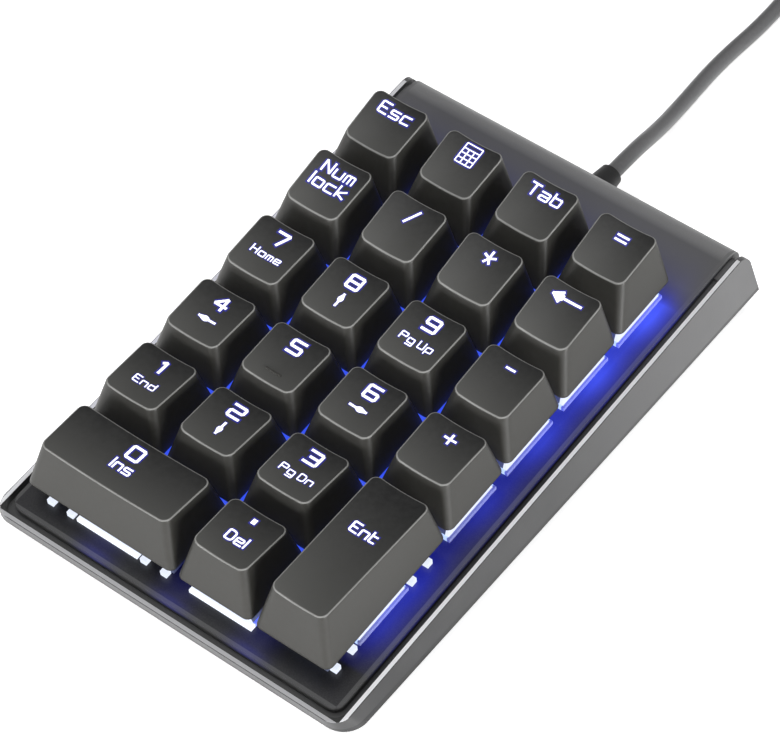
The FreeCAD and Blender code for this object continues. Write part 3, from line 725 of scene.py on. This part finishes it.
def roundLoop(corners, radius):
    arcSteps = capSetup["arcSteps"]
    sideSteps = capSetup["sideSteps"]
    arcs = []
    for i, corner in enumerate(corners):
        here = Vector(corner)
        before = (here - Vector(corners[i - 1])).normalized()
        after = (Vector(corners[(i + 1) % 4]) - here).normalized()
        turn = before.angle(after)
        reach = radius * math.tan(turn / 2)
        inward = (after - before).normalized()
        centre = here + inward * (radius / math.cos(turn / 2))
        start = here - before * reach - centre
        arc = []
        for step in range(arcSteps + 1):
            angle = turn * step / arcSteps
            c, s = math.cos(angle), math.sin(angle)
            arc.append(centre + Vector((start.x * c - start.y * s, start.x * s + start.y * c)))
        arcs.append(arc)
    loop = []
    for i, arc in enumerate(arcs):
        loop += arc
        far = arcs[(i + 1) % 4][0]
        for step in range(1, sideSteps):
            loop.append(arc[-1].lerp(far, step / sideSteps))
    return loop


def capLoops(shape):
    edge = capSetup["edge"]
    low = capSetup["skirtHeight"]
    lip = capSetup["lip"]
    steps = capSetup["edgeSteps"]
    underEdge, nearEdge = capSetup["sideDrops"]
    skirt = roundLoop(shape.skirtCorners(0), capSetup["skirtRadius"])
    skirtIn = roundLoop(shape.skirtCorners(lip), capSetup["skirtRadius"] - lip)
    top = roundLoop(shape.topCorners(0), capSetup["topRadius"])
    topIn = roundLoop(shape.topCorners(edge), capSetup["topRadius"] - edge)
    foot = [Vector((p.x, p.y, low + lip)) for p in skirt]
    crown = [Vector((p.x, p.y, shape.height(p.x, p.y))) for p in top]
    crownIn = [Vector((p.x, p.y, shape.height(p.x, p.y))) for p in topIn]
    loops = [[Vector((p.x, p.y, low)) for p in skirtIn], foot]
    for share in capSetup["sideShares"]:
        loops.append([a.lerp(b, share) for a, b in zip(foot, crown)])
    for drop in (edge + underEdge, edge * (1 + nearEdge)):
        loops.append([b.lerp(a, drop / (b.z - a.z)) for a, b in zip(foot, crown)])
    for step in range(1, steps + 1):
        angle = math.pi / 2 * step / steps
        loop = []
        for a, b, c in zip(foot, crown, crownIn):
            drop = edge * (1 - math.sin(angle))
            side = b.lerp(a, drop / (b.z - a.z))
            loop.append(side + (c - b) * (1 - math.cos(angle)))
        loops.append(loop)
    middle = (shape.front + shape.rear) / 2
    for share in capSetup["topShares"]:
        loop = []
        for p in topIn:
            x = p.x * share
            y = middle.y + (p.y - middle.y) * share
            loop.append(Vector((x, y, shape.height(x, y))))
        loops.append(loop)
    return loops, Vector((0, middle.y, shape.height(0, middle.y)))


def insideLoops(shape):
    wall = capSetup["wall"]
    low = capSetup["skirtHeight"]
    under = capSetup["roof"] - capSetup["dish"]
    skirt = roundLoop(shape.skirtCorners(wall), capSetup["insideFoot"])
    top = roundLoop(shape.topCorners(wall), capSetup["insideTop"])
    foot = [Vector((p.x, p.y, low)) for p in skirt]
    crown = [Vector((p.x, p.y, shape.height(0, p.y) - under)) for p in top]
    loops = [foot]
    for share in capSetup["insideShares"]:
        loops.append([a.lerp(b, share) for a, b in zip(foot, crown)])
    middle = (shape.front + shape.rear) / 2
    for share in capSetup["roofShares"]:
        loops.append([
            Vector((p.x * share, middle.y + (p.y - middle.y) * share, p.z)) for p in crown
        ])
    return loops, Vector((0, middle.y, (crown[0].z + crown[len(crown) // 2].z) / 2))


def shellMesh(loops, inner, tip, innerTip):
    count = len(loops[0])
    vertices = [v for loop in reversed(inner) for v in loop] + [v for loop in loops for v in loop]
    rings = len(inner) + len(loops)
    faces = []
    for ring in range(rings - 1):
        a = ring * count
        b = a + count
        for i in range(count):
            j = (i + 1) % count
            faces.append((a + i, a + j, b + j, b + i))
    vertices += [innerTip, tip]
    last = (rings - 1) * count
    for i in range(count):
        j = (i + 1) % count
        faces.append((len(vertices) - 2, j, i))
        faces.append((last + i, last + j, len(vertices) - 1))
    return vertices, faces


# Legends: strokes on a grid 4 wide, with the base line at 2 and capitals up to 8
glyphs = {
    "0": "02 42 48 08 02", "1": "07 18 12", "2": "08 48 45 05 02 42", "3": "08 48 42 02|15 45",
    "4": "32 38 04 44", "5": "48 08 05 45 42 02", "6": "48 08 02 42 45 05", "7": "08 48 22",
    "8": "02 42 48 08 02|05 45", "9": "02 42 48 08 05 45",
    "E": "48 08 02 42|05 35", "s": "46 06 04 44 42 02", "c": "46 06 02 42", "T": "08 48|28 22",
    "a": "06 46 42 02 04 44", "b": "08 02 42 46 06", "N": "02 08 42 48", "u": "06 02 42 46",
    "m": "02 06 46 42|26 22", "l": "08 02", "o": "02 42 46 06 02", "k": "08 02|46 04 42",
    "H": "02 08|42 48|05 45", "e": "42 02 06 46 44 04", "P": "02 08 48 45 05",
    "g": "42 02 06 46 40 00", "U": "08 02 42 48", "p": "00 06 46 42 02", "n": "02 06 46 42",
    "d": "48 42 02 06 46", "D": "02 08 38 47 43 32 02", "I": "02 08", "t": "08 02 32|06 36",
    "=": "04 44|06 46", "/": "12 48", "*": "25 28|25 46|25 33|25 13|25 06", "-": "15 45",
    "+": "05 45|23 27", ".": "25 26",
}
signs = {  # whole signs, in millimetres about their middle
    "calculator": [
        [(-1.7, -2.1), (1.7, -2.1), (1.7, 2.1), (-1.7, 2.1), (-1.7, -2.1)],
        [(-1.7, 1.0), (1.7, 1.0)], [(-1.7, 0.0), (1.7, 0.0)], [(-1.7, -1.05), (1.7, -1.05)],
        [(-0.58, -2.1), (-0.58, 1.0)], [(0.58, -2.1), (0.58, 1.0)],
    ],
    "backward": [
        [(-3.4, 0.0), (3.2, 0.0)], [(-1.6, 1.15), (-3.4, 0.0), (-1.6, -1.15)],
        [(-2.6, 0.0), (-1.2, 0.62), (-1.2, -0.62), (-2.6, 0.0)],
    ],
    "left": [
        [(-1.9, 0.0), (2.0, 0.0)],
        [(-1.7, 0.0), (-0.3, 0.5), (0.5, 0.0), (-0.3, -0.5), (-1.7, 0.0)],
    ],
    "right": [
        [(-2.0, 0.0), (1.9, 0.0)],
        [(1.7, 0.0), (0.3, 0.5), (-0.5, 0.0), (0.3, -0.5), (1.7, 0.0)],
    ],
    "up": [
        [(0.0, -1.6), (0.0, 1.6)],
        [(0.0, 1.4), (-0.45, 0.2), (0.0, -0.4), (0.45, 0.2), (0.0, 1.4)],
    ],
    "down": [
        [(0.0, -1.6), (0.0, 1.6)],
        [(0.0, -1.4), (-0.45, -0.2), (0.0, 0.4), (0.45, -0.2), (0.0, -1.4)],
    ],
}
legendStyles = {  # grid steps across and up, stroke, halo beyond the stroke, all in millimetres
    "digit": (0.70, 0.52, 0.62, 0.36), "word": (0.50, 0.45, 0.42, 0.34),
    "mark": (0.62, 0.56, 0.50, 0.30), "middle": (0.40, 0.39, 0.41, 0.28),
    "small": (0.34, 0.28, 0.29, 0.20), "sign": (1.15, 1.15, 0.27, 0.34),
    "arrow": (1.0, 1.0, 0.52, 0.18), "bold": (1.0, 1.0, 0.55, 0.30), "dot": (0.66, 0.52, 1.0, 0.32),
}
legendSetup = {
    "gap": 1.7, "space": 1.6, "midHeight": 5.0, "cut": 0.4, "step": 0.9,
    "sharpest": 0.5, "endShare": 0.4,
    "lift": 0.03, "haloLift": 0.015, "perStroke": 0.0005,  # each stroke lies a hair above the last
    "sink": 0.12,
}


def wordStrokes(word, style):
    across, upward, _, _ = legendStyles[style]
    if word in signs:
        return [[(x * across, y * upward) for x, y in stroke] for stroke in signs[word]]
    strokes, cursor = [], 0.0
    for letter in word:
        if letter == " ":
            cursor += legendSetup["space"]
            continue
        widest = 0.0
        for part in glyphs[letter].split("|"):
            stroke = []
            for pair in part.split(" "):
                stroke.append((cursor + int(pair[0]), int(pair[1]) - legendSetup["midHeight"]))
                widest = max(widest, int(pair[0]))
            strokes.append(stroke)
        cursor += widest + legendSetup["gap"]
    total = max(x for stroke in strokes for x, _ in stroke)
    lowest = min(x for stroke in strokes for x, _ in stroke)
    shift = (total + lowest) / 2
    return [[((x - shift) * across, y * upward) for x, y in stroke] for stroke in strokes]


def softened(stroke, cut):  # corners cut and long runs divided, so that strokes follow the dish
    longest = legendSetup["cut"]
    closed = stroke[0] == stroke[-1] and len(stroke) > 3
    points = [Vector(p) for p in (stroke[:-1] if closed else stroke)]
    count = len(points)
    result = []
    for i, here in enumerate(points):
        if not closed and i in (0, count - 1):
            result.append(here)
            continue
        before = points[i - 1] - here
        after = points[(i + 1) % count] - here
        reach = min(cut, before.length * longest, after.length * longest)
        result.append(here + before.normalized() * reach)
        result.append(here + after.normalized() * reach)
    fine = []
    pairs = list(zip(result, result[1:])) + ([(result[-1], result[0])] if closed else [])
    for a, b in pairs:
        parts = max(1, math.ceil((b - a).length / legendSetup["step"]))
        for step in range(parts):
            fine.append(a.lerp(b, step / parts))
    if not closed:
        fine.append(result[-1])
    return fine, closed


def ribbonMesh(shape, centre, stroke, v, width, lift, vertices, faces, extend):
    points, closed = softened(stroke, legendSetup["cut"] * width)
    sink = legendSetup["sink"]
    if not closed:
        points[0] = points[0] + (points[0] - points[1]).normalized() * extend
        points[-1] = points[-1] + (points[-1] - points[-2]).normalized() * extend
    count = len(points)
    first = len(vertices)
    for i, here in enumerate(points):
        before = points[i - 1] if closed or i > 0 else here - (points[1] - here)
        after = points[(i + 1) % count] if closed or i < count - 1 else here + (here - points[-2])
        into = (here - before).normalized()
        out = (after - here).normalized()
        normal = Vector((-(into.y + out.y), into.x + out.x)).normalized()
        reach = width / 2 / max(legendSetup["sharpest"], math.sqrt((1 + into.dot(out)) / 2))
        for side, height in ((1, lift), (-1, lift), (-1, -sink), (1, -sink)):
            spot = here + normal * (side * reach)
            place = shape.on(spot.x, v - spot.y, height)
            vertices.append(fromDeck((place.x + centre[0], place.y + centre[1], place.z)))
    for i in range(count if closed else count - 1):
        a = first + i * 4
        b = first + ((i + 1) % count) * 4
        for k in range(4):
            m = (k + 1) % 4
            faces.append((a + k, a + m, b + m, b + k))
    if not closed:
        last = first + (count - 1) * 4
        faces.append((first + 3, first + 2, first + 1, first))
        faces.append((last, last + 1, last + 2, last + 3))


def makeLegend(name, shape, centre, lines):
    for kind, lowest in (("legend", legendSetup["lift"]), ("halo", legendSetup["haloLift"])):
        vertices, faces = [], []
        for word, style, v in lines:
            width, halo = legendStyles[style][2:]
            around = halo if kind == "halo" else 0.0
            wide = width + 2 * around
            extend = width * legendSetup["endShare"] + around
            for number, stroke in enumerate(wordStrokes(word, style)):
                lift = lowest + number * legendSetup["perStroke"]
                ribbonMesh(shape, centre, stroke, v, wide, lift, vertices, faces, extend)
        material = finishes[kind]
        piece = makeObject(kind + "_" + name, vertices, faces, [material], "key_" + name, smooth=False)


def markCap(cap, count, innerRings, outerRings):  # marks top, side and the rounded edge, where the finish paints a highlight
    marks = cap.data.attributes.new("capPlace", "FLOAT_VECTOR", "POINT")
    for i in range(len(cap.data.vertices)):
        ring = i // count - innerRings
        onTop = 1.0 if topRing <= ring < outerRings or i == len(cap.data.vertices) - 1 else 0.0
        edgeHighlightMask = 1.0 if topRing <= ring <= edgeRing else 0.0
        marks.data[i].vector = (onTop, edgeHighlightMask, 0.0)


def makeCap(name, column, row, wide, deep, lines):
    profile = enterProfile if deep > 1 else rowProfiles[int(row)]
    shape = CapShape(profile, wide, deep)
    centre = keyCentre(column, row)
    loops, tip = capLoops(shape)
    inner, innerTip = insideLoops(shape)
    vertices, faces = shellMesh(loops, inner, tip, innerTip)
    placed = [fromDeck((v.x + centre[0], v.y + centre[1], v.z)) for v in vertices]
    cap = makeObject("cap_" + name, placed, faces, [finishes["cap"]], "key_" + name)
    markCap(cap, len(loops[0]), len(inner), len(loops))
    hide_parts("keycap_" + name)
    makeLegend(name, shape, centre, lines)
    return shape, centre


homingBar = {"half": 1.9, "v": 10.9, "thick": 0.55, "lift": 0.3, "softEdge": 0.12}


def makeHomingBar(shape, centre):
    vertices, faces = [], []
    setup = homingBar
    stroke = [(-setup["half"], 0.0), (setup["half"], 0.0)]
    ribbonMesh(shape, centre, stroke, setup["v"], setup["thick"], setup["lift"], vertices, faces, 0.0)
    bar = makeObject("homingBar", vertices, faces, [finishes["cap"]], "key_5", smooth=False)
    bevel = bar.modifiers.new("softEdge", "BEVEL")
    bevel.width = setup["softEdge"] * mm
    bevel.segments = 2


for key in keyField:
    shape, centre = makeCap(*key)
    if key[0] == "5":
        makeHomingBar(shape, centre)
print("keycaps and legends made:", len(keyField))

cord = makeCord()
cord.data.materials.append(finishes["cord"])
tie = makeTie(finishes["tie"])
print("cord made")

# Studio
studioSetup = {
    "floor": (0.92, 0.92, 0.92), "lift": 0.72, "floorHalf": 6.0, "aim": (0, 0, 0.02),
    "world": (0.98, 0.98, 1.0), "horizon": 0.75, "zenith": 0.20, "ambient": 0.09,
    "lamps": [  # place, size, watts
        ((-0.02, -0.26, 1.15), 0.9, 8.5),
        ((1.0, -0.35, 0.13), 0.5, 13.0),
        ((-0.25, -1.05, 0.11), 0.45, 9.0),
    ],
}


def rays(tree):  # camera, glossy and transmission rays
    path = tree.nodes.new("ShaderNodeLightPath")
    kinds = ("Camera", "Glossy", "Transmission")
    return [Wave(tree, path.outputs["Is " + kind + " Ray"]) for kind in kinds]


def makeFloor():
    half = studioSetup["floorHalf"]
    data = bpy.data.meshes.new("floor")
    corners = [(-half, -half, 0), (half, -half, 0), (half, half, 0), (-half, half, 0)]
    data.from_pydata(corners, [], [(0, 1, 2, 3)])
    floor = bpy.data.objects.new("floor", data)
    bpy.context.scene.collection.objects.link(floor)
    finish = Finish("floorPaper", {"Base Color": (*studioSetup["floor"], 1.0), "Roughness": 0.9})
    finish.shader.inputs["Emission Color"].default_value = (1.0, 1.0, 1.0, 1.0)
    seen, glossy, through = rays(finish.tree)
    strength = (seen + glossy + through).below(1.0) * studioSetup["lift"]
    finish.tree.links.new(strength.socket, finish.shader.inputs["Emission Strength"])
    data.materials.append(finish.material)


def makeWorld():
    world = bpy.data.worlds.new("studio")
    bpy.context.scene.world = world
    world.use_nodes = True
    tree = world.node_tree
    background = tree.nodes["Background"]
    background.inputs["Color"].default_value = (*studioSetup["world"], 1.0)
    seen, glossy, through = rays(tree)
    coordinate = tree.nodes.new("ShaderNodeTexCoord")
    split = tree.nodes.new("ShaderNodeSeparateXYZ")
    tree.links.new(coordinate.outputs["Generated"], split.inputs[0])
    upward = Wave(tree, split.outputs[2]).clamped()
    zenith, horizon = studioSetup["zenith"], studioSetup["horizon"]
    sky = zenith + (horizon - zenith) * ((1.0 - upward) ** 2.0)
    mirrored = (glossy + through).below(1.0)
    plain = mirrored * sky + (1.0 - mirrored) * studioSetup["ambient"]
    strength = seen + (1.0 - seen) * plain
    tree.links.new(strength.socket, background.inputs["Strength"])


def makeLamps():
    for number, (place, size, watts) in enumerate(studioSetup["lamps"]):
        data = bpy.data.lights.new("softBox" + str(number), "AREA")
        data.size = size
        data.energy = watts
        lamp = bpy.data.objects.new("softBox" + str(number), data)
        lamp.location = place
        towards = Vector(studioSetup["aim"]) - Vector(place)
        lamp.rotation_euler = towards.to_track_quat("-Z", "Y").to_euler()
        bpy.context.scene.collection.objects.link(lamp)


makeFloor()
makeWorld()
makeLamps()
bpy.context.scene.view_settings.view_transform = "Standard"
print("studio made")
